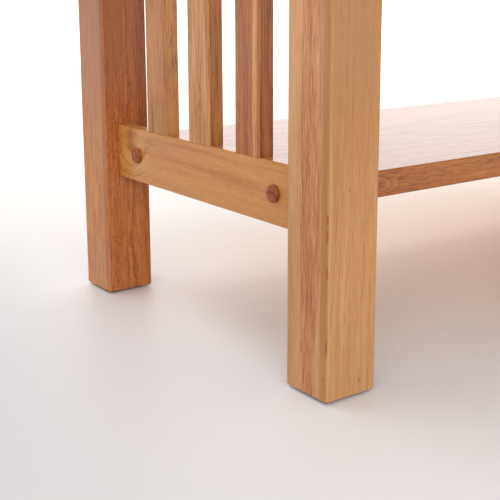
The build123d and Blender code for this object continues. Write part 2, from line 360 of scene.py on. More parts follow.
@dataclass(frozen=True)
class Lacquer:
    """The clear coat over the wood, with the gloss and the relief of the wood under it.

    Attributes:
        coat: How thick the coat looks, from 0 to 1.
        coat_roughness: Roughness of the coat.
        roughness: Roughness of the wood.
        fibre_roughness: How much the fibres change it.
        pore_roughness: How much rougher an open pore is.
        under_gloss: Gloss of the wood.
        fibre_height: Height of the fibres.
        pore_depth: Depth of an open pore.
        ring_depth: Depth of the late wood.
    """

    coat: float = 0.75
    coat_roughness: float = 0.16
    roughness: float = 0.5
    fibre_roughness: float = 0.16
    pore_roughness: float = 0.2
    under_gloss: float = 0.2
    fibre_height: float = 0.03 * MM
    pore_depth: float = 0.05 * MM
    ring_depth: float = 0.02 * MM


@dataclass(frozen=True)
class Figure:
    """The patterns that one board's colour, gloss and relief are worked out from.

    Attributes:
        place: Place on the board: across, across, along.
        strip_tone: How much lighter or darker its glued-up strip is.
        rings: Growth rings, 1 in the dark late wood.
        fibre: Fine fibres, from 0 to 1.
        hair: Short fine hairs, from 0 to 1.
        pores: 1 in an open pore and 0 between pores.
    """

    place: Socket
    strip_tone: Value
    rings: Socket
    fibre: Socket
    hair: Socket
    pores: Socket


@dataclass(frozen=True)
class Timber:
    """A kind of wood under lacquer, with the colours and figure that one board shows.

    Attributes:
        pale: Lightest wood.
        middle: Usual wood.
        deep: Darkest wood, in the growth rings.
        pore: Colour of the open pores.
        ring: Usual distance between growth rings.
        ring_share: How strongly the rings show.
        ripple: How many rings a ripple throws them out by.
        ripple_size: Width and length of one ripple.
        fibre_share: How strongly the fine fibres show.
        fibre_width: Width of one fibre streak.
        fibre_length: Length of one fibre streak.
        hair_share: How strongly the short fine hairs show.
        hair_width: Width of one hair.
        hair_length: Length of one hair.
        streak_share: How strongly the broad streaks show.
        streak_size: Width and length of one streak.
        cloud_share: How strongly the clouds show, as a share of the streaks.
        cloud_size: Width and length of one cloud.
        line_share: How dark the thin lines of closed vessels are.
        line_width: Width of one thin line.
        line_length: Length of one thin line.
        pore_share: How dark the pores are.
        pore_width: Distance between pores across the grain.
        pore_length: Distance between pores along the grain.
        crowd_size: Width and length of a place where the pores crowd together.
        wander: How far the rings swing from side to side.
        wander_length: Length of one swing.
        lacquer: The clear coat.
    """

    pale: Colour
    middle: Colour
    deep: Colour
    pore: Colour
    ring: float = 5.0 * MM
    ring_share: float = 0.5
    ripple: float = 1.1
    ripple_size: tuple[float, float] = (9.0 * MM, 60.0 * MM)
    fibre_share: float = 0.8
    fibre_width: float = 1.4 * MM
    fibre_length: float = 45.0 * MM
    hair_share: float = 0.4
    hair_width: float = 0.8 * MM
    hair_length: float = 9.0 * MM
    streak_share: float = 0.5
    streak_size: tuple[float, float] = (7.0 * MM, 260.0 * MM)
    cloud_share: float = 0.6
    cloud_size: tuple[float, float] = (38.0 * MM, 110.0 * MM)
    line_share: float = 0.4
    line_width: float = 0.9 * MM
    line_length: float = 60.0 * MM
    pore_share: float = 0.5
    pore_width: float = 1.4 * MM
    pore_length: float = 16.0 * MM
    crowd_size: tuple[float, float] = (14.0 * MM, 120.0 * MM)
    wander: float = 5.0 * MM
    wander_length: float = 90.0 * MM
    lacquer: Lacquer = Lacquer()

    def board_place(self, s: ShaderSheet, cut: Cut) -> tuple[Socket, Value]:
        """Place on the board, and how much lighter or darker its strip is.

        The place is that in the stand's frame less the board's middle, with its axes taken in
        the order across, across, along. On a glued-up board each strip's place is thrown
        aside by its own random amount, so that the figure breaks at every glue line.

        Args:
            s: The sheet that is written.
            cut: How the board was sawn.

        Returns:
            The place as a vector, and the strip's tone as a swing about nought.
        """
        parts = s.node("SeparateXYZ", {0: s.place()}).outputs
        order = ["XYZ".index(axis) for axis in cut.grain.value]
        across = [s.math("SUBTRACT", parts[i], cut.middle[i]) for i in order]
        if not cut.stave:
            return s.join(*across), 0.0
        count = s.math("FLOOR", s.math("DIVIDE", across[cut.stave_side], cut.stave))
        picked = s.node("TexWhiteNoise", {"W": s.math("ADD", count, cut.seed)}, noise_dimensions="1D")
        throws = s.node("SeparateColor", {0: picked.outputs[1]}).outputs
        moved = [
            s.math("ADD", part, s.swing(throw, size))
            for part, throw, size in zip(across, throws, cut.stave_throw)
        ]
        return s.join(*moved), s.swing(picked.outputs[0], cut.stave_tone)

    def ring_number(self, s: ShaderSheet, cut: Cut, place: Socket) -> Value:
        """The number of the growth ring, counted out from the log's wandering heart.

        It is the distance to the heart over the ring spacing, rippled by soft noise. A swirl
        adds a smooth hump of a few rings, which bends the rings round its middle.

        Args:
            s: The sheet that is written.
            cut: How the board was sawn.
            place: Place on the board.

        Returns:
            The ring number, which is rarely whole.
        """
        a, b, along = s.node("SeparateXYZ", {0: place}).outputs
        bend = s.line_noise(s.math("MULTIPLY_ADD", along, 1 / self.wander_length, cut.seed))
        bends = s.node("SeparateColor", {0: bend.outputs[1]}).outputs
        squares = []
        for side, part in enumerate((a, b)):
            drift = s.math("MULTIPLY_ADD", along, -cut.lean[side], -cut.pith[side])
            offset = s.total(part, drift, s.swing(bends[side], self.wander))
            squares.append(s.math("MULTIPLY", offset, offset))
        radius = s.math("SQRT", s.total(*squares))
        ripple = s.noise(s.stretch(place, *self.ripple_size, cut.seed), detail=3.0)
        number = s.math("DIVIDE", radius, self.ring)
        for knot in cut.knots:
            if knot.rings:
                hump = s.ease(s.distance(knot.place, knot.size), 1.0, 0.0)
                number = s.math("MULTIPLY_ADD", hump, knot.rings, number)
        return s.math("ADD", number, s.swing(ripple, self.ripple))

    def rings(self, s: ShaderSheet, cut: Cut, place: Socket) -> Socket:
        """Growth rings, from 0 in the pale early wood to 1 in the dark late wood.

        The shading is noise along the ring number, which makes some rings wide and some
        narrow, plus a thin dark line near the end of each.

        Args:
            s: The sheet that is written.
            cut: How the board was sawn.
            place: Place on the board.

        Returns:
            The shading of the rings.
        """
        line_start, line_peak = 0.45, 0.93
        line_part, band_part = 0.35, 0.65
        number = self.ring_number(s, cut, place)
        band = s.line_noise(s.math("ADD", number, cut.seed * 7.0), detail=3.0).outputs[0]
        turn = s.math("FRACT", number)
        line = s.math("MULTIPLY", s.ease(turn, line_start, line_peak), s.ease(turn, 1.0, line_peak))
        bands = s.math("MULTIPLY", s.ease(band, 0.3, 0.7), band_part)
        return s.math("MULTIPLY_ADD", line, line_part, bands)

    def pores(self, s: ShaderSheet, cut: Cut, place: Socket, rings: Socket) -> Socket:
        """Open pores as short dark dashes along the grain, thicker in the late wood.

        Space is cut into long cells, and a dash is the small core round each cell's point.

        Args:
            s: The sheet that is written.
            cut: How the board was sawn.
            place: Place on the board.
            rings: Shading of the growth rings.

        Returns:
            1 in a pore and 0 between pores.
        """
        core_size, late_growth, crowding = 0.14, 0.14, 0.5
        core_rim, core_full, skin = 0.1, -0.06, 1.5 * MM
        cells = s.stretch(place, self.pore_width, self.pore_length, cut.seed * 3.0)
        inputs = {"Vector": cells, "Scale": 1.0, "Randomness": 1.0}
        core = s.node("TexVoronoi", inputs, feature="F1").outputs["Distance"]
        crowd = s.noise(s.stretch(place, *self.crowd_size, cut.seed + 2.0))
        size = s.total(s.swing(crowd, crowding), s.math("MULTIPLY_ADD", rings, late_growth, core_size))
        dash = s.ease(s.math("SUBTRACT", core, size), core_rim, core_full)
        if cut.clear_side is None:
            return dash
        across = s.node("SeparateXYZ", {0: place}).outputs[cut.clear_side]
        return s.math("MULTIPLY", dash, s.ease(across, cut.clear_depth, cut.clear_depth + skin))

    def figure(self, s: ShaderSheet, cut: Cut) -> Figure:
        """Works out a board's figure, from its growth rings down to its pores.

        Args:
            s: The sheet that is written.
            cut: How the board was sawn.

        Returns:
            The figure.
        """
        place, strip_tone = self.board_place(s, cut)
        rings = self.rings(s, cut, place)
        fibre_place = s.stretch(place, self.fibre_width, self.fibre_length, cut.seed)
        hair_place = s.stretch(place, self.hair_width, self.hair_length, cut.seed + 5.0)
        return Figure(
            place=place,
            strip_tone=strip_tone,
            rings=rings,
            fibre=s.noise(fibre_place, 4.0, 0.7),
            hair=s.noise(hair_place, 2.0, 0.6),
            pores=self.pores(s, cut, place, rings),
        )

    def tone(self, s: ShaderSheet, cut: Cut, figure: Figure) -> Value:
        """How dark the wood is, from 0 where it is palest to 1 where it is deepest.

        It is a half plus a swing for each part of the figure, and near the middle of a swirl
        the rings swing further.

        Args:
            s: The sheet that is written.
            cut: How the board was sawn.
            figure: The board's figure.

        Returns:
            The tone.
        """
        swirl_rim, swirl_full = 1.1, 0.5
        streak = s.noise(s.stretch(figure.place, *self.streak_size, cut.seed), 2.0)
        cloud = s.noise(s.stretch(figure.place, *self.cloud_size, cut.seed + 9.0), 2.0)
        tone = s.total(
            0.5,
            figure.strip_tone,
            s.swing(figure.rings, self.ring_share),
            s.swing(figure.fibre, self.fibre_share),
            s.swing(figure.hair, self.hair_share),
            s.swing(streak, self.streak_share),
            s.swing(cloud, self.streak_share * self.cloud_share),
        )
        for knot in cut.knots:
            if knot.rings:
                near = s.ease(s.distance(knot.place, knot.size), swirl_rim, swirl_full)
                tone = s.math("MULTIPLY_ADD", near, s.swing(figure.rings, knot.strength), tone)
        return tone

    def stripe_share(self, s: ShaderSheet, stripe: Stripe, figure: Figure, seed: float) -> Socket:
        """How far a place lies in a stripe, its start frayed by the fibres.

        Args:
            s: The sheet that is written.
            stripe: The stripe.
            figure: The board's figure.
            seed: Number that sets how the stripe sways.

        Returns:
            1 in the stripe and 0 outside it.
        """
        parts = s.node("SeparateXYZ", {0: figure.place}).outputs
        across, along = parts[stripe.side], parts[2]
        frayed = across
        if stripe.fray:
            sway = s.noise(s.stretch(figure.place, *stripe.sway_size, seed + 4.0), 3.0)
            drawn = s.math("MULTIPLY", s.ease(along, stripe.taper_from, stripe.taper_to), -stripe.taper)
            fibre_swing = s.swing(figure.fibre, stripe.fray * 3)
            frayed = s.total(across, drawn, fibre_swing, s.swing(sway, stripe.fray * 2))
        first = s.ease(frayed, stripe.start - stripe.start_blur, stripe.start + stripe.start_blur)
        last = s.ease(across, stripe.end + stripe.end_blur, stripe.end - stripe.end_blur)
        return s.math("MULTIPLY", s.math("MULTIPLY", first, last), stripe.strength)

    def colour(self, s: ShaderSheet, cut: Cut, figure: Figure) -> Socket:
        """The wood's colour by its tone, then the stripes, lines, pores, stains and painted shade over it.

        Args:
            s: The sheet that is written.
            cut: How the board was sawn.
            figure: The board's figure.

        Returns:
            The colour.
        """
        line_rim, line_full, stain_and_shade_core = 0.5, 0.66, 0.3
        tone = self.tone(s, cut, figure)
        wood = s.ramp(tone, (self.pale, self.middle, self.deep))
        for index, stripe in enumerate(cut.stripes):
            share = self.stripe_share(s, stripe, figure, cut.seed + index)
            own = s.math("ADD", tone, s.swing(figure.hair, stripe.hair_share))
            wood = s.blend(share, wood, s.ramp(own, (stripe.light, stripe.dark)))
        vessel_place = s.stretch(figure.place, self.line_width, self.line_length, cut.seed + 13.0)
        vessels = s.ease(s.noise(vessel_place, 1.0), line_rim, line_full)
        wood = s.blend(s.math("MULTIPLY", vessels, self.line_share), wood, self.pore)
        wood = s.blend(s.math("MULTIPLY", figure.pores, self.pore_share), wood, self.pore)
        # Stains darken the wood round a knot's middle; on the striped post the same blend paints shade near
        # its top.
        for knot in cut.knots:
            if knot.stain_and_shade:
                away = s.distance(knot.place, knot.size)
                spread = s.ease(away, knot.stain_and_shade_reach, stain_and_shade_core * knot.stain_and_shade_reach)
                stain_and_shade = s.math("MULTIPLY", spread, knot.stain_and_shade)
                wood = s.blend(stain_and_shade, wood, knot.colour or self.pore)
        return wood

    def material(self, name: str, cut: Cut) -> bpy.types.Material:
        """Makes the material of one board.

        Args:
            name: The material's name.
            cut: How the board was sawn.

        Returns:
            The finished material.
        """
        s = ShaderSheet(bpy.data.materials.new(name))
        figure = self.figure(s, cut)
        lacquer = self.lacquer
        relief = s.total(
            s.math("MULTIPLY", figure.pores, -lacquer.pore_depth),
            s.math("MULTIPLY", figure.fibre, lacquer.fibre_height),
            s.math("MULTIPLY", figure.rings, -lacquer.ring_depth),
        )
        rough = s.total(
            lacquer.roughness,
            s.swing(figure.fibre, lacquer.fibre_roughness),
            s.math("MULTIPLY", figure.pores, lacquer.pore_roughness),
        )
        shader = {
            "Base Color": self.colour(s, cut, figure),
            "Roughness": rough,
            "Specular IOR Level": lacquer.under_gloss,
            "Coat Weight": lacquer.coat,
            "Coat Roughness": lacquer.coat_roughness,
        }
        return s.finish(shader, relief)


@dataclass(frozen=True)
class Metal:
    """Plated steel with fine turning marks.

    Attributes:
        colour: Its colour.
        roughness: Its roughness.
        mottle: Size of one patch of its mottled plating.
        mark: Width of one turning mark.
        mark_depth: Depth of the marks.
    """

    colour: Colour
    roughness: float
    mottle: float = 1.6 * MM
    mark: float = 0.25 * MM
    mark_depth: float = 0.01 * MM

    def material(self, name: str) -> bpy.types.Material:
        """Makes the metal's material, mottled a little in colour and gloss.

        Args:
            name: The material's name.

        Returns:
            The finished material.
        """
        s = ShaderSheet(bpy.data.materials.new(name))
        spread = s.noise(s.stretch(s.place(), self.mottle, self.mottle), 3.0)
        marks = s.noise(s.stretch(s.place(), self.mark, self.mark), 1.0)
        darker = tuple(0.6 * part for part in self.colour[:3]) + (1.0,)
        shader = {
            "Base Color": s.ramp(spread, (darker, self.colour)),
            "Metallic": 1.0,
            "Roughness": s.math("ADD", self.roughness, s.swing(spread, 0.2)),
        }
        return s.finish(shader, s.math("MULTIPLY", marks, self.mark_depth))


@dataclass(frozen=True)
class Felt:
    """Needled wool felt: a matted pile with lighter stray hairs.

    Attributes:
        colour: Its darkest wool.
        hair: Its lightest wool.
        clump: Size of one clump of the matted pile.
        hair_width: Width of the stray hairs.
        pile: Height of the pile.
    """

    colour: Colour
    hair: Colour
    clump: float = 1.1 * MM
    hair_width: float = 0.22 * MM
    pile: float = 0.12 * MM

    def material(self, name: str) -> bpy.types.Material:
        """Makes the felt's material from two sizes of matted hair.

        Args:
            name: The material's name.

        Returns:
            The finished material.
        """
        s = ShaderSheet(bpy.data.materials.new(name))
        mat = s.noise(s.stretch(s.place(), self.clump, self.clump), 4.0, 0.7)
        hairs = s.noise(s.stretch(s.place(), self.hair_width, self.hair_width), 3.0, 0.8)
        wool = s.blend(s.ease(hairs, 0.5, 0.75), s.ramp(mat, (self.colour, self.hair)), self.hair)
        shader = {
            "Base Color": wool,
            "Roughness": 0.95,
            "Sheen Weight": 0.4,
            "Sheen Roughness": 0.5,
        }
        return s.finish(shader, s.math("MULTIPLY", hairs, self.pile))


GOLDEN = Timber(
    pale=shade("C69563"),
    middle=shade("B58350"),
    deep=shade("9B6737"),
    pore=shade("8A4A10"),
    ring_share=0.2,
    fibre_share=1.1,
    fibre_length=50.0 * MM,
    hair_share=0.8,
    hair_length=16.0 * MM,
    streak_share=0.7,
    line_share=0.2,
    line_length=24.0 * MM,
    pore_share=0.12,
)
RED = Timber(
    pale=shade("BC763F"),
    middle=shade("A9602A"),
    deep=shade("823B12"),
    pore=shade("642A0C"),
    ring_share=0.3,
    fibre_share=1.3,
    hair_share=0.5,
    line_share=0.4,
    line_length=16.0 * MM,
    pore_share=0.75,
    pore_width=1.3 * MM,
    pore_length=8.0 * MM,
    lacquer=Lacquer(coat=0.5),
)
HONEY = Timber(
    pale=shade("C8904E"),
    middle=shade("B77B3B"),
    deep=shade("9A5D22"),
    pore=shade("7A4212"),
    ring=9.0 * MM,
    ring_share=0.1,
    fibre_share=0.3,
    fibre_length=26.0 * MM,
    hair_share=0.6,
    hair_length=5.0 * MM,
    streak_share=1.1,
    line_share=0.12,
    line_length=7.0 * MM,
    pore_share=0.05,
    wander=9.0 * MM,
)
BROWN = Timber(
    pale=shade("C08243"),
    middle=shade("A76329"),
    deep=shade("7F4014"),
    pore=shade("522409"),
    ring_share=0.3,
    fibre_share=1.5,
    line_share=0.55,
    lacquer=Lacquer(coat=0.5),
)
SHELF_WOOD = replace(
    BROWN,
    ring=7.0 * MM,
    fibre_share=0.9,
    fibre_length=30.0 * MM,
    line_share=0.4,
    line_length=14.0 * MM,
    streak_share=0.5,
    pore_length=9.0 * MM,
    pore_share=0.25,
    lacquer=Lacquer(),
)
SLAT_RED = replace(BROWN, pale=shade("B67338"), middle=shade("9C5A24"), deep=shade("6F340F"))
SLAT_TAN = replace(BROWN, pale=shade("CB965F"), middle=shade("B0763D"), deep=shade("8A4F22"))
SLAT_BROWN = replace(BROWN, pale=shade("B98042"), middle=shade("A76B2F"), deep=shade("854C1D"))
BUTTON = Timber(
    pale=shade("A4602A"),
    middle=shade("8A4716"),
    deep=shade("622C08"),
    pore=shade("3A1605"),
    ring=2.2 * MM,
    lacquer=Lacquer(coat=0.35, coat_roughness=0.12),
)
PLAIN_DOWEL = Timber(
    pale=shade("E2C79E"),
    middle=shade("D3B284"),
    deep=shade("BC9565"),
    pore=shade("8C6538"),
    lacquer=Lacquer(coat=0.0, roughness=0.7),
)
BRONZED = Metal(shade("8A7148"), 0.34)
ZINC = Metal(shade("B9B6AC"), 0.3)
WOOL = Felt(shade("2E211A"), shade("4A382C"))


def middle_of(node: str) -> tuple[float, float, float]:
    """The middle of a CAD node's box."""
    low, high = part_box(node)
    return tuple((low + high) / 2)


def dress(node: str, material: bpy.types.Material) -> None:
    """Puts one material on every slot of a CAD node.

    Args:
        node: The CAD node's name.
        material: The material that it gets.
    """
    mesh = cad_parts[node].data
    mesh.materials.clear()
    mesh.materials.append(material)
    log.info("dressed %s in %s", node, material.name)


def ringed_surface(name: str, rings: np.ndarray) -> bpy.types.Object:
    """A closed surface through rings of points, each end drawn together to a pole.

    Vertex (i, j) is ring i at angle step j. Each quad joins steps j and j + 1 of rings i and
    i + 1, the step after the last being the first, and a fan of triangles joins each end ring
    to the mean of its points.

    Args:
        name: The piece's name.
        rings: Points of shape (rings, steps, 3), turning so that the faces look outwards.

    Returns:
        The new object, linked to the scene.
    """
    count, steps, _ = rings.shape
    poles = np.stack([rings[0].mean(axis=0), rings[-1].mean(axis=0)])
    points = np.concatenate([rings.reshape(-1, 3), poles])
    step = np.arange(steps)
    after = (step + 1) % steps
    base = (np.arange(count - 1) * steps)[:, None]
    quads = np.stack([base + step, base + after, base + steps + after, base + steps + step], axis=-1)
    first_pole, last_pole = count * steps, count * steps + 1
    last = (count - 1) * steps
    first_fan = np.stack([np.full(steps, first_pole), after, step], axis=-1)
    last_fan = np.stack([np.full(steps, last_pole), last + step, last + after], axis=-1)
    faces = quads.reshape(-1, 4).tolist() + first_fan.tolist() + last_fan.tolist()
    mesh = bpy.data.meshes.new(name)
    mesh.from_pydata(points.tolist(), [], faces)
    mesh.polygons.foreach_set("use_smooth", np.ones(len(mesh.polygons), dtype=bool))
    mesh.update()
    piece = bpy.data.objects.new(name, mesh)
    bpy.context.scene.collection.objects.link(piece)
    return piece


def join_pieces(pieces: Sequence[bpy.types.Object]) -> bpy.types.Object:
    """Joins pieces into the first of them.

    Args:
        pieces: Two or more mesh objects.

    Returns:
        The first object, which holds all the meshes.
    """
    with bpy.context.temp_override(
        active_object=pieces[0], selected_editable_objects=list(pieces)
    ):
        bpy.ops.object.join()
    return pieces[0]


@dataclass
class FootPads:
    """The felt pads under the posts.

    Attributes:
        corner_power: Power of the outline; 2 is round, and a high power is square.
        edge: Radius of the cut edge.
        bulge: How far the pressed edge stands out.
        waviness: How uneven the cut outline is, as a share of its size.
        steps: Points round the outline.
        rows: Points from the middle of the underside to the middle of the top.
    """

    corner_power: float = 7.0
    edge: float = 0.5 * MM
    bulge: float = 0.35 * MM
    waviness: float = 0.006
    steps: int = 160
    rows: int = 24

    def surface(self, node: str, seed: int) -> bpy.types.Object:
        """One pad: a rounded square slab whose edge bulges under load.

        In plan the outline is the curve |x|^p + |y|^p = h^p. The height goes from underside
        to top as half a cosine of the row, and each row's outline is drawn in by the edge
        radius times the cosine's fourth power, and pushed out by the bulge at mid height.

        Args:
            node: The CAD pad that it stands for.
            seed: Number that sets the waviness of this pad's outline.

        Returns:
            The new piece.
        """
        low, high = (np.array(corner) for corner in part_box(node))
        middle, half = (low + high) / 2, (high - low) / 2
        angle = np.linspace(0, 2 * np.pi, self.steps, endpoint=False)
        cos, sin = np.cos(angle), np.sin(angle)
        power = self.corner_power
        reach = (np.abs(cos) ** power + np.abs(sin) ** power) ** (-1 / power)
        wave = np.sin(5 * angle + seed) + 0.6 * np.sin(11 * angle + 2.3 * seed)
        reach = reach * (1 - self.waviness * (1 + wave / 1.6) / 2)
        turn = np.linspace(0, np.pi, self.rows)
        level = -np.cos(turn)
        edge_share = (self.edge * np.abs(level) ** 4) / half[0]
        drawn = 1 - edge_share + (self.bulge / half[0]) * (1 - level**2)
        flat = np.array([0.35, 0.7, 0.92])
        face = np.ones(len(flat))
        drawn = np.concatenate([flat * drawn[0], drawn, flat[::-1] * drawn[-1]])
        level = np.concatenate([-face, level, face])
        plan = np.stack([cos * reach * half[0], sin * reach * half[1]], axis=-1)
        rings = np.empty((len(level), self.steps, 3))
        rings[..., :2] = middle[:2] + drawn[:, None, None] * plan
        rings[..., 2] = middle[2] + half[2] * level[:, None]
        return ringed_surface(node + "_felt", rings)

    def build(self) -> None:
        """Makes the four pads and sets each in its CAD pad's place."""
        wool = WOOL.material("wool_felt")
        for seed, node in enumerate(sorted(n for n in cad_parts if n.startswith("foot_pad"))):
            pad = self.surface(node, seed)
            pad.data.materials.append(wool)
            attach(pad, ROOT)
            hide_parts(node)
            log.info("made %s", pad.name)


@dataclass
class CoverButtons:
    """The domed wooden buttons over the shelf screws of one end frame.

    Attributes:
        side: "left" or "right".
        rim: Height of the button's straight edge.
        steps: Points round the button.
        rows: Points from the edge to the crown.
    """

    side: str
    rim: float = 2.0 * MM
    steps: int = 72
    rows: int = 22

    def surface(
        self, name: str, centre: np.ndarray, radius: float, rise: float, outward: float
    ) -> bpy.types.Object:
        """One turned button: a short straight rim under a low dome.

        With t from 0 at the edge to a quarter turn at the crown, the radius is R cos t and
        the height is the rim plus the rest of the rise times sin t to the power 0.9.

        Args:
            name: The piece's name.
            centre: Middle of its seat on the rail.
            radius: Its radius R.
            rise: Height of its crown over the seat.
            outward: -1 or 1, the way along X that it faces.

        Returns:
            The new piece.
        """
        turn = np.linspace(0, np.pi / 2, self.rows, endpoint=False)
        reach = np.concatenate([[0.5, 0.93, 0.985], np.cos(turn)])
        height = np.concatenate(
            [[0.0, 0.0, 0.15 * self.rim], self.rim + (rise - self.rim) * np.sin(turn) ** 0.9]
        )
        angle = np.linspace(0, 2 * np.pi, self.steps, endpoint=False) * outward
        rings = np.empty((len(reach), self.steps, 3))
        rings[..., 0] = centre[0] + outward * height[:, None]
        rings[..., 1] = centre[1] + radius * reach[:, None] * np.cos(angle)
        rings[..., 2] = centre[2] + radius * reach[:, None] * np.sin(angle)
        return ringed_surface(name, rings)

    def build(self) -> None:
        """Makes the two buttons of this side as one piece."""
        outward = -1.0 if self.side == "left" else 1.0
        node = f"cover_buttons_{self.side}"
        low, high = (np.array(corner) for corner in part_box(node))
        rail_low, rail_high = (np.array(c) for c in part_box(f"lower_rail_{self.side}"))
        face = rail_low[0] if outward < 0 else rail_high[0]
        crown = low[0] if outward < 0 else high[0]
        radius = (high[2] - low[2]) / 2
        level = (high[2] + low[2]) / 2
        made = []
        for index, y in enumerate((low[1] + radius, high[1] - radius)):
            centre = np.array([face, y, level])
            made.append(self.surface(f"{node}_{index}", centre, radius, abs(crown - face), outward))
        piece = join_pieces(made)
        piece.name = f"{node}_turned"
        seat = (face, 0.0, level)
        seed = 3.7 + outward
        cut = Cut(seat, Grain.CROSSWISE, pith=(0.03, 0.01), lean=(0.0, 0.0), seed=seed)
        piece.data.materials.append(BUTTON.material(f"button_wood_{self.side}", cut))
        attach(piece, ROOT)
        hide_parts(node)
        log.info("made %s", piece.name)


@dataclass
class EndFrame:
    """One slatted end frame: two posts, two rails and three upright slats.

    Attributes:
        side: "left" or "right".
        seed: Number that the figure of its boards is counted from.
    """

    side: str
    seed: float

    def marks_and_shade(self, node: str) -> tuple[Knot, ...]:
        """The painted shade near the top, corner strip, pin knots and dark flecks of the striped post.

        Args:
            node: The post.

        Returns:
            The marks: the broad tint and the painted shade first, and the small marks over them.
        """
        low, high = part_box(node)
        corner = np.array([low.x, low.y, low.z])
        # A darker yellow strip down the rounded corner.
        edge = Knot(
            (low.x + 0.4 * MM, low.y + 2.6 * MM, (low.z + high.z) / 2),
            (2.2 * MM, 2.4 * MM, 2 * high.z), stain_and_shade=0.5, stain_and_shade_reach=1.2, colour=shade("9A6413"),
        )
        # Painted shade: the front face darkens towards the top of the post.
        darker_top = Knot(
            (middle_of(node)[0], low.y, 0.42), (0.2, 0.02, 0.34), stain_and_shade=0.7, colour=shade("94602C")
        )
        # Millimetres from the foot of the outer corner, reach in millimetres, and darkness.
        pins = [
            ((0.0, 4.0, 19.5), (2.0, 1.5, 1.9), 1.0),
            ((33.6, 0.0, 12.0), (1.0, 2.0, 2.2), 0.9),
            ((20.6, 0.0, 166.0), (1.6, 3.0, 2.8), 0.5),
            ((17.8, 0.0, 114.0), (0.7, 2.0, 7.0), 0.5),
        ]
        # Flecks on the corner itself: height and half length.
        flecks = ((45.0, 9.0), (104.0, 8.0), (132.0, 9.0), (145.0, 7.0))
        pins += [((0.6, 1.6, height), (1.8, 1.2, length), 0.95) for height, length in flecks]
        marks = [
            Knot(tuple(corner + np.array(place) * MM), tuple(np.array(size) * MM), stain_and_shade=dark)
            for place, size, dark in pins
        ]
        return (edge, darker_top, *marks)

    def striped_cut(self, node: str, seed: float) -> Cut:
        """The cut of the post that has red heartwood between two strips of pale sapwood.

        Args:
            node: The post.
            seed: Number that sets its figure.

        Returns:
            The cut.
        """
        middle = middle_of(node)
        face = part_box(node)[0].y - middle[1]
        seam = face + 8.5 * MM
        heart = Stripe(
            side=1, start=seam, end=face + 32.9 * MM, light=shade("C98A50"), dark=shade("824016"),
            start_blur=4.5 * MM, end_blur=0.6 * MM, fray=2.0 * MM,
            taper=7.0 * MM, taper_from=-60.0 * MM, taper_to=-280.0 * MM, hair_share=1.2,
        )
        olive = Stripe(
            side=1, start=face + 0.9 * MM, end=seam, light=shade("A6753A"), dark=shade("885422"),
            strength=0.75, start_blur=0.5 * MM, end_blur=0.8 * MM,
        )
        return Cut(
            middle, Grain.UPRIGHT, pith=(0.09, 0.04), lean=(0.02, 0.01), seed=seed,
            stripes=(heart, olive), knots=self.marks_and_shade(node),
        )

    def faced_cut(self, node: str, seed: float) -> Cut:
        """The cut of the red post whose outer face is plainer, paler wood.

        Args:
            node: The post.
            seed: Number that sets its figure.

        Returns:
            The cut.
        """
        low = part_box(node)[0]
        middle = middle_of(node)
        face = low.x - middle[0]
        tan_face = Stripe(
            side=0, start=face - 14.5 * MM, end=face + 1.2 * MM,
            light=shade("CE9055"), dark=shade("A86A36"), strength=0.75, end_blur=0.8 * MM,
        )
        # Darker in the post's upper part, and more so on its outer face.
        darker_top = Knot((middle[0], middle[1], 0.36), (0.2, 0.2, 0.2), stain_and_shade=0.4, colour=shade("7A3A12"))
        outer = Knot((low.x, middle[1], 0.3), (0.03, 0.2, 0.18), stain_and_shade=0.5, colour=shade("8A4A1E"))
        corner = (low.x, low.y + 3.0 * MM, middle[2])
        pink = Knot(corner, (2.0 * MM, 6.0 * MM, 0.8), stain_and_shade=0.5, colour=shade("8A4A2A"))
        return Cut(
            middle, Grain.UPRIGHT, pith=(0.03, -0.06), lean=(0.01, 0.02), seed=seed,
            stripes=(tan_face,), knots=(darker_top, outer, pink),
            clear_side=0, clear_depth=face + 0.5 * MM,
        )

    def post(self, end: str) -> tuple[Timber, Cut]:
        """The timber and the cut of one post.

        Args:
            end: "front" or "rear".

        Returns:
            The timber and the cut.
        """
        node = f"post_{end}_{self.side}"
        middle = middle_of(node)
        seed = self.seed + (1.3 if end == "front" else 2.9)
        if (end, self.side) == ("front", "left"):
            return GOLDEN, self.striped_cut(node, seed)
        if (end, self.side) == ("rear", "left"):
            return RED, self.faced_cut(node, seed)
        if end == "front":
            return GOLDEN, Cut(middle, Grain.UPRIGHT, pith=(-0.05, 0.06), lean=(0.03, 0.01), seed=seed)
        return RED, Cut(middle, Grain.UPRIGHT, pith=(0.05, 0.05), lean=(0.01, -0.02), seed=seed)

    def rail(self, level: str) -> Cut:
        """The cut of one rail, with a swirl where a branch grew near its rear end.

        Args:
            level: "lower" or "upper".

        Returns:
            The cut.
        """
        node = f"{level}_rail_{self.side}"
        low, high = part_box(node)
        middle = (low + high) / 2
        centre = (middle.x, high.y - 24.0 * MM, middle.z - 1.0 * MM)
        swirl = Knot(centre, (0.2, 46.0 * MM, 40.0 * MM), rings=3.0, strength=0.65)
        dark_line = Knot(
            (middle.x, low.y + 42.0 * MM, middle.z + 19.0 * MM), (0.1, 34.0 * MM, 1.6 * MM), stain_and_shade=0.3
        )
        pith = (0.012, -0.055) if level == "lower" else (0.02, 0.05)
        return Cut(
            tuple(middle), Grain.CROSSWISE, pith, lean=(0.05, 0.12), seed=self.seed + pith[1],
            knots=(swirl, dark_line),
        )

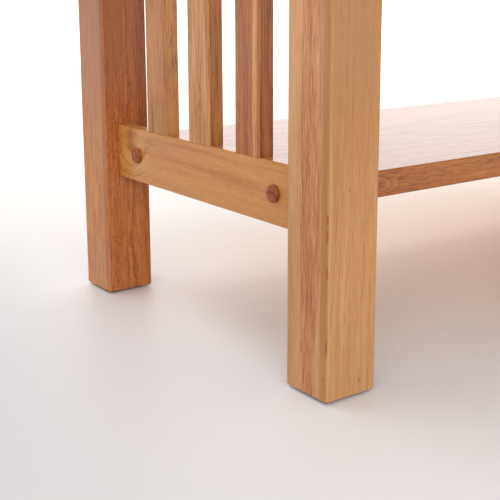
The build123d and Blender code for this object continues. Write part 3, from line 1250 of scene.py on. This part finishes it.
    def slat(self, place: str, node: str) -> tuple[Timber, Cut]:
        """The timber and the cut of one end slat.

        Args:
            place: "front", "middle" or "rear".
            node: The slat.

        Returns:
            The timber and the cut.
        """
        order = ("front", "middle", "rear").index(place)
        middle = middle_of(node)
        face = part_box(node)[0].y - middle[1]
        light_edge = Stripe(
            side=1, start=face + 3.5 * MM, end=face + 9.5 * MM,
            light=shade("D29A62"), dark=shade("B57C48"), strength=0.7, start_blur=0.8 * MM,
        )
        # Each slat's front face gets its own colours: near the side's on the front slat, darker on the
        # middle one and lighter on the rear one.
        edge_pale = ("B4743A", "B0703A", "C88E56")[order]
        edge_deep = ("88481A", "844A1E", "A0683A")[order]
        front_face_colours = Stripe(
            side=1, start=face - 12.5 * MM, end=face + 0.3 * MM,
            light=shade(edge_pale), dark=shade(edge_deep), strength=0.85, end_blur=0.3 * MM,
        )
        cut = Cut(
            middle, Grain.UPRIGHT, pith=(0.04, 0.02 * (order - 1)), lean=(0.02, 0.01),
            seed=self.seed + 1.7 * order,
            stripes=(light_edge, front_face_colours) if place == "front" else (front_face_colours,),
        )
        return (SLAT_RED, SLAT_TAN, SLAT_BROWN)[order], cut

    def build(self) -> None:
        """Dresses the frame's boards and makes its buttons."""
        for end in ("front", "rear"):
            node = f"post_{end}_{self.side}"
            timber, cut = self.post(end)
            dress(node, timber.material(f"{node}_wood", cut))
        for level in ("lower", "upper"):
            node = f"{level}_rail_{self.side}"
            dress(node, HONEY.material(f"{node}_wood", self.rail(level)))
        for place in ("front", "middle", "rear"):
            node = f"end_slat_{self.side}_{place}"
            timber, cut = self.slat(place, node)
            dress(node, timber.material(f"{node}_wood", cut))
        CoverButtons(self.side).build()


@dataclass
class Shelf:
    """The lower shelf, glued up from strips.

    Attributes:
        stave: Width of one strip.
        seed: Number that sets its figure.
    """

    stave: float = 60.0 * MM
    seed: float = 11.0

    def build(self) -> None:
        """Dresses the shelf board."""
        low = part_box("shelf_board")[0]
        swirl = Knot(
            (low.x + 62.0 * MM, low.y, low.z + 10.0 * MM), (34.0 * MM, 60.0 * MM, 13.0 * MM),
            rings=3.0, strength=0.7, stain_and_shade=0.15, stain_and_shade_reach=0.9,
        )
        cut = Cut(
            middle_of("shelf_board"), Grain.LENGTHWISE, pith=(0.02, -0.06), lean=(0.02, 0.05),
            seed=self.seed, stave=self.stave, knots=(swirl,),
        )
        dress("shelf_board", SHELF_WOOD.material("shelf_wood", cut))


@dataclass
class Deck:
    """The aprons, the ledgers inside them and the slats that they carry.

    Attributes:
        seed: Number that the figure of its boards is counted from.
    """

    seed: float = 23.0

    def build(self) -> None:
        """Dresses the long boards and then the slats."""
        for index, end in enumerate(("front", "rear")):
            for kind, timber in (("apron", HONEY), ("ledger", BROWN)):
                node = f"{kind}_{end}"
                pith = (0.03 - 0.05 * index, 0.06)
                cut = Cut(
                    middle_of(node), Grain.LENGTHWISE, pith, lean=(0.02, 0.03), seed=self.seed + index
                )
                dress(node, timber.material(f"{node}_wood", cut))
        slats = sorted(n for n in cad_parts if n.startswith("deck_slat"))
        for index, node in enumerate(slats):
            pith = (0.02 * math.sin(2.1 * index), -0.05 - 0.01 * (index % 3))
            seed = self.seed + 2.3 * index
            cut = Cut(middle_of(node), Grain.CROSSWISE, pith, lean=(0.03, 0.05), seed=seed)
            timber = (GOLDEN, HONEY, BROWN)[(index * 2 + index // 3) % 3]
            dress(node, timber.material(f"{node}_wood", cut))


@dataclass
class Fixings:
    """Screws, bolts, barrel nuts and dowels."""

    bronzed: tuple[str, ...] = ("apron_bolts",)
    zinced: tuple[str, ...] = ("barrel_nuts", "shelf_screws", "deck_screws", "ledger_screws")
    dowels: tuple[str, ...] = ("rail_dowels", "slat_dowels", "apron_dowels")

    def build(self) -> None:
        """Dresses the fixings."""
        bronze, zinc = BRONZED.material("bronzed_steel"), ZINC.material("zinc_steel")
        for node in self.bronzed:
            dress(node, bronze)
        for node in self.zinced:
            dress(node, zinc)
        origin = (0.0, 0.0, 0.0)
        cut = Cut(origin, Grain.CROSSWISE, pith=(0.02, 0.02), lean=(0.0, 0.0), seed=5.0)
        beech = PLAIN_DOWEL.material("dowel_wood", cut)
        for node in self.dowels:
            dress(node, beech)


@dataclass(frozen=True)
class SoftLamp:
    """A large soft lamp that faces the stand.

    Attributes:
        name: Its name.
        place: Where it hangs.
        size: Its width and height.
        power: Its power in watts.
        aim: Where it faces.
        tint: Colour of its light.
    """

    name: str
    place: tuple[float, float, float]
    size: tuple[float, float]
    power: float
    aim: tuple[float, float, float] = (0.0, 0.0, 0.1)
    tint: Colour = shade("EAF3FF")

    def build(self) -> None:
        """Hangs the lamp, unseen by the camera."""
        data = bpy.data.lights.new(self.name, "AREA")
        data.shape = "RECTANGLE"
        data.size, data.size_y = self.size
        data.energy = self.power
        data.color = self.tint[:3]
        lamp = bpy.data.objects.new(self.name, data)
        lamp.location = self.place
        way = Vector(self.aim) - lamp.location
        lamp.rotation_euler = way.to_track_quat("-Z", "Y").to_euler()
        lamp.visible_camera = False
        bpy.context.scene.collection.objects.link(lamp)


@dataclass(frozen=True)
class PaperFloor:
    """A wide paper floor, grey near the stand, whitened ahead by painted light and glowing white far off.

    Attributes:
        yaw: Degrees that the way ahead is turned from +Y towards +X.
        half: Half the floor's side.
        tooth: Size of the paper's fine tooth.
        greys: The two greys of the tooth near the stand.
        painted_light_span: How far ahead the painted light starts to whiten the paper, and whitens it
            fully.
        painted_shade: Colour of the painted shade to the left.
        painted_shade_lean: How far the painted shade's edge leans, for each metre ahead.
        painted_shade_span: How far to the right the painted shade starts, and is full.
        painted_shade_reach: Distance from the stand where the painted shade is gone, and is full.
        painted_warm_shade: Colour of the painted warm shade under the stand, tinted as by light
            bounced off the wood above it.
        painted_warm_shade_middle: Middle of that painted shade.
        painted_warm_shade_size: Its reach along X, Y and Z.
        painted_warm_shade_span: Where it starts and is full, in reaches.
        painted_warm_shade_share: How fully it covers the grey.
        glow_span: Distance from the stand where the paper starts to glow, and glows fully.
    """

    yaw: float
    half: float = 30.0
    tooth: float = 2.0 * MM
    greys: tuple[Colour, Colour] = (shade("DBDEE2"), shade("DFE2E6"))
    painted_light_span: tuple[float, float] = (-0.3, 1.2)
    painted_shade: Colour = shade("B6BABF")
    painted_shade_lean: float = 0.4
    painted_shade_span: tuple[float, float] = (-0.34, -0.72)
    painted_shade_reach: tuple[float, float] = (1.5, 0.8)
    painted_warm_shade: Colour = shade("EAD1B6")
    painted_warm_shade_middle: tuple[float, float, float] = (0.18, 0.06, 0.0)
    painted_warm_shade_size: tuple[float, float, float] = (0.5, 0.3, 1.0)
    painted_warm_shade_span: tuple[float, float] = (1.4, 0.2)
    painted_warm_shade_share: float = 0.85
    glow_span: tuple[float, float] = (1.4, 3.6)

    def material(self) -> bpy.types.Material:
        """Makes the paper's material.

        Painted light turns its grey to white by distance ahead. A painted shade darkens what lies to the
        left, and a painted warm shade, tinted as by light bounced off the wood, lies under the stand.

        Returns:
            The finished material.
        """
        s = ShaderSheet(bpy.data.materials.new("floor_paper"))
        tooth = s.noise(s.stretch(s.place(), self.tooth, self.tooth), 3.0)
        x, y = math.sin(math.radians(self.yaw)), math.cos(math.radians(self.yaw))
        ahead = s.reach_along(s.place(), (x, y, 0.0))
        # Painted shade darkens the paper to the left, within a metre and a half of the stand.
        lean = self.painted_shade_lean
        right = s.reach_along(s.place(), (lean * x + y, lean * y - x, 0.0))
        away = s.node("VectorMath", {0: s.place()}, operation="LENGTH").outputs["Value"]
        near = s.ease(away, *self.painted_shade_reach)
        painted_shade_share = s.math("MULTIPLY", s.ease(right, *self.painted_shade_span), near)
        grey = s.blend(painted_shade_share, s.ramp(tooth, self.greys), self.painted_shade)
        # Painted light: the paper turns white ahead, towards the bright end wall.
        paper = s.blend(s.ease(ahead, *self.painted_light_span), grey, shade("FFFFFF"))
        # Painted warm shade under the stand, tinted as by light bounced off the wood above it.
        depth = s.distance(self.painted_warm_shade_middle, self.painted_warm_shade_size)
        painted_warm_shade_mix = s.math("MULTIPLY", s.ease(depth, *self.painted_warm_shade_span), self.painted_warm_shade_share)
        shader = {
            "Base Color": s.blend(painted_warm_shade_mix, paper, self.painted_warm_shade),
            "Roughness": 0.5,
            "Emission Color": shade("FFFFFF"),
            "Emission Strength": s.ease(away, *self.glow_span),
        }
        return s.finish(shader)

    def build(self) -> None:
        """Lays the floor as one flat square."""
        half = self.half
        mesh = bpy.data.meshes.new("floor")
        corners = [(-half, -half, 0.0), (half, -half, 0.0), (half, half, 0.0), (-half, half, 0.0)]
        mesh.from_pydata(corners, [], [(0, 1, 2, 3)])
        floor = bpy.data.objects.new("floor", mesh)
        bpy.context.scene.collection.objects.link(floor)
        mesh.materials.append(self.material())


@dataclass
class Studio:
    """A pale floor, a white room with a bright end wall, and the camera.

    Attributes:
        eye: The camera's place.
        yaw: Degrees that it is turned from +Y towards +X.
        pitch: Degrees that it looks down.
        lens: Focal length in millimetres.
        frame_width: Width of the camera's frame in millimetres.
        shift: Sideways and upward shift of the frame.
        room: Brightness of the room on the camera's side.
        room_tint: Its colour there.
        end_wall: Brightness of its bright end.
        wall_tint: Its colour at that end.
        wall_span: Cosine of the angle to the bright end where it starts, and is full.
        front: The soft lamp behind the camera.
        back: The soft lamp above and behind the stand.
    """

    eye: tuple[float, float, float] = (-0.8464, -0.7486, 0.3223)
    yaw: float = 36.64
    pitch: float = 11.93
    lens: float = 72.1
    frame_width: float = 36.0
    shift: tuple[float, float] = (-0.03, -0.12)
    room: float = 0.72
    room_tint: Colour = shade("FFE8D0")
    end_wall: float = 1.9
    wall_tint: Colour = shade("FFFCFA")
    wall_span: tuple[float, float] = (0.55, 0.97)
    front: SoftLamp = SoftLamp("front_lamp", (-1.8, -2.4, 1.3), (3.0, 1.8), 72.0)
    back: SoftLamp = SoftLamp("back_lamp", (-0.5, 1.2, 2.6), (3.0, 2.2), 40.0)

    def camera(self) -> None:
        """Sets up the camera."""
        data = bpy.data.cameras.new("camera")
        data.lens = self.lens
        data.sensor_width = self.frame_width
        data.shift_x, data.shift_y = self.shift
        data.clip_start, data.clip_end = 0.02, 200.0
        camera = bpy.data.objects.new("camera", data)
        camera.location = self.eye
        camera.rotation_euler = (math.radians(90 - self.pitch), 0.0, math.radians(-self.yaw))
        bpy.context.scene.collection.objects.link(camera)
        bpy.context.scene.camera = camera

    def light(self) -> None:
        """Lights the stand by the room and two soft lamps, and keeps whites clear.

        The room's brightness is a curve of the cosine between a direction and the way to the
        bright end wall: even on the near side, and rising to the wall's own at its middle. A
        white band at least as bright as 1 lies along the horizon.
        """
        world = bpy.data.worlds.new("white_room")
        s = ShaderSheet(world)
        turn = math.radians(self.yaw)
        towards = (math.sin(turn), math.cos(turn), 0.0)
        way = s.node("TexCoord", {}).outputs["Generated"]
        height = s.node("SeparateXYZ", {0: way}).outputs[2]
        rise = s.ease(s.reach_along(way, towards), *self.wall_span)
        wall = s.math("MULTIPLY_ADD", rise, self.end_wall - self.room, self.room)
        horizon = s.ease(s.math("ABSOLUTE", height), 0.2, 0.05)
        strength = s.math("MAXIMUM", wall, horizon)
        tint = s.blend(horizon, s.blend(rise, self.room_tint, self.wall_tint), shade("FFFFFF"))
        room = s.node("Background", {"Color": tint, "Strength": strength})
        s.node("OutputWorld", {"Surface": room.outputs[0]})
        bpy.context.scene.world = world
        bpy.context.scene.view_settings.view_transform = "Standard"
        for lamp in (self.front, self.back):
            lamp.build()

    def build(self) -> None:
        """Sets up the whole studio."""
        self.camera()
        PaperFloor(self.yaw).build()
        self.light()
        log.info("set up the studio")


def main() -> None:
    """Builds the stand's looks in order."""
    logging.basicConfig(level=logging.INFO, format="%(name)s: %(message)s")
    Studio().build()
    for piece in (
        EndFrame("left", 1.0),
        EndFrame("right", 6.0),
        Shelf(),
        Deck(),
        Fixings(),
        FootPads(),
    ):
        piece.build()


if __name__ == "__main__":
    main()
